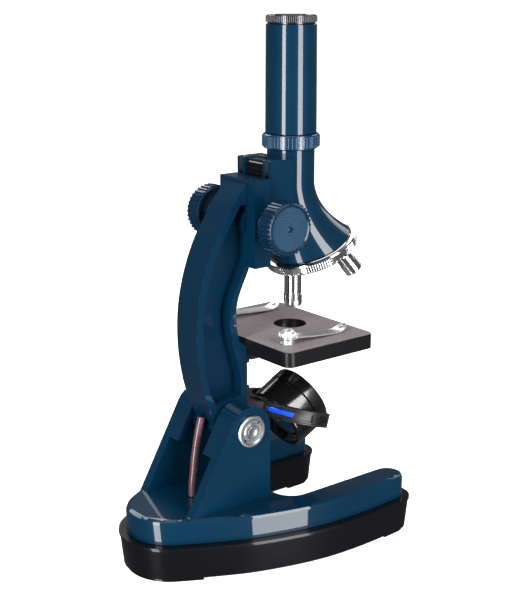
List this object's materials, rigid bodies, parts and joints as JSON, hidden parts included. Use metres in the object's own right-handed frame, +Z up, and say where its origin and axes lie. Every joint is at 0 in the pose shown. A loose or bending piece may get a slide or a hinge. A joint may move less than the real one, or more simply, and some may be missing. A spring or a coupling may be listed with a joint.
{
  "type": "student microscope",
  "caption": "Upright student microscope: tilting arm on a forked base, rack-focused tube with a turning objective turret, clipped stage and a swinging lamp and mirror drum.",
  "frame": {"origin": "on the floor under the middle of the base's outline", "axes": "+Z up, -Y towards the open front of the base and the objectives, X across the base"},
  "size_m": [0.1124, 0.1596, 0.285],
  "materials": {
    "blue_paint": "gloss petrol blue enamel on die castings",
    "knob_paint": "gloss slate blue",
    "black_plastic": "satin black",
    "gloss_black": "gloss black",
    "stage_coat": "fine-textured black coat, worn taupe on top",
    "chrome": "bright plating",
    "steel": "zinc-plated hardware",
    "clear_glass": "polished lens",
    "frosted_glass": "frosted",
    "mirror": "silvered",
    "blue_plastic": "gloss bright blue",
    "cell_wrap": "printed wrap without text",
    "lead_skin": "glossy mauve-brown PVC"
  },
  "bodies": {
    "base": {"base_skirt": "black_plastic", "base_casting": "blue_paint", "battery_cover": "black_plastic", "battery_cover_screw": "steel", "base_screw_1": "steel", "base_screw_2": "steel", "base_screw_3": "steel", "battery_left": "cell_wrap", "battery_right": "cell_wrap", "contact_front": "steel", "contact_rear": "steel", "hinge_bolt": "steel", "hinge_nut_left": "chrome", "hinge_nut_right": "chrome", "lamp_lead": "lead_skin"},
    "arm": {"arm_casting": "blue_paint", "stage_plate": "stage_coat", "stage_bracket": "black_plastic", "stage_screw_left": "steel", "stage_screw_right": "steel", "bracket_screw": "steel", "clip_post_left": "chrome", "clip_post_right": "chrome", "clip_nut_left": "chrome", "clip_nut_right": "chrome", "lamp_yoke": "black_plastic", "yoke_inlay": "blue_plastic", "yoke_screw": "steel", "lamp_pivot_left": "gloss_black", "lamp_pivot_right": "gloss_black"},
    "clip_left": {"stage_clip_left": "chrome"},
    "clip_right": {"stage_clip_right": "chrome"},
    "lamp": {"lamp_housing": "gloss_black", "lamp_bezel": "gloss_black", "lamp_lens": "frosted_glass", "lamp_mirror": "mirror", "lamp_reflector": "mirror", "lamp_holder": "black_plastic", "lamp_bulb": "clear_glass"},
    "focus": {"pinion_shaft": "steel", "focus_knob_left": "knob_paint", "focus_knob_right": "knob_paint"},
    "head": {"head_casting": "blue_paint", "focus_rack": "black_plastic", "upper_tube": "blue_paint", "eyepiece_cap": "black_plastic", "eye_lens": "clear_glass", "turret_pin": "chrome"},
    "zoom_ring": {"zoom_collar": "blue_paint"},
    "zoom_optics": {"zoom_cell": "black_plastic", "zoom_lens": "clear_glass"},
    "turret": {"turret_disc": "chrome", "turret_ring": "chrome", "objective_upright": "chrome", "objective_left": "chrome", "objective_right": "chrome", "objective_lens_upright": "clear_glass", "objective_lens_left": "clear_glass", "objective_lens_right": "clear_glass"}
  },
  "joints": [
    {"name": "tilt", "type": "hinge", "parent": "base", "child": "arm", "pos_m": [0, 0.0172, 0.0734], "axis": [-1, 0, 0], "range_deg": [0, 50], "deforming": ["lamp_lead"]},
    {"name": "focus_travel", "type": "slide", "parent": "arm", "child": "head", "axis": [0, 0, 1], "range_m": [-0.009, 0.012]},
    {"name": "focus_turn", "type": "hinge", "parent": "arm", "child": "focus", "pos_m": [0, -0.0002, 0.181], "axis": [-1, 0, 0], "range_deg": [-95, 126]},
    {"name": "turret_turn", "type": "hinge", "parent": "head", "child": "turret", "pos_m": [0, -0.04445, 0.1596], "axis": [0, -0.3827, -0.9239], "continuous": true},
    {"name": "zoom_turn", "type": "hinge", "parent": "head", "child": "zoom_ring", "pos_m": [0, -0.0298, 0.22], "axis": [0, 0, 1], "range_deg": [0, 90]},
    {"name": "zoom_travel", "type": "slide", "parent": "head", "child": "zoom_optics", "axis": [0, 0, 1], "range_m": [0, 0.0082]},
    {"name": "clip_left_swing", "type": "hinge", "parent": "arm", "child": "clip_left", "pos_m": [-0.029, -0.0043, 0.1213], "axis": [0, 0, -1], "range_deg": [-15, 40]},
    {"name": "clip_right_swing", "type": "hinge", "parent": "arm", "child": "clip_right", "pos_m": [0.029, -0.0043, 0.1213], "axis": [0, 0, 1], "range_deg": [-15, 40]},
    {"name": "lamp_turn", "type": "hinge", "parent": "arm", "child": "lamp", "pos_m": [0, -0.0298, 0.069], "axis": [1, 0, 0], "range_deg": [-70, 125]}
  ],
  "couplings": [
    {"joint": "focus_turn", "follows": "focus_travel", "rad_per_m": 178.57},
    {"joint": "zoom_travel", "follows": "zoom_turn", "m_per_rad": 0.005093}
  ]
}
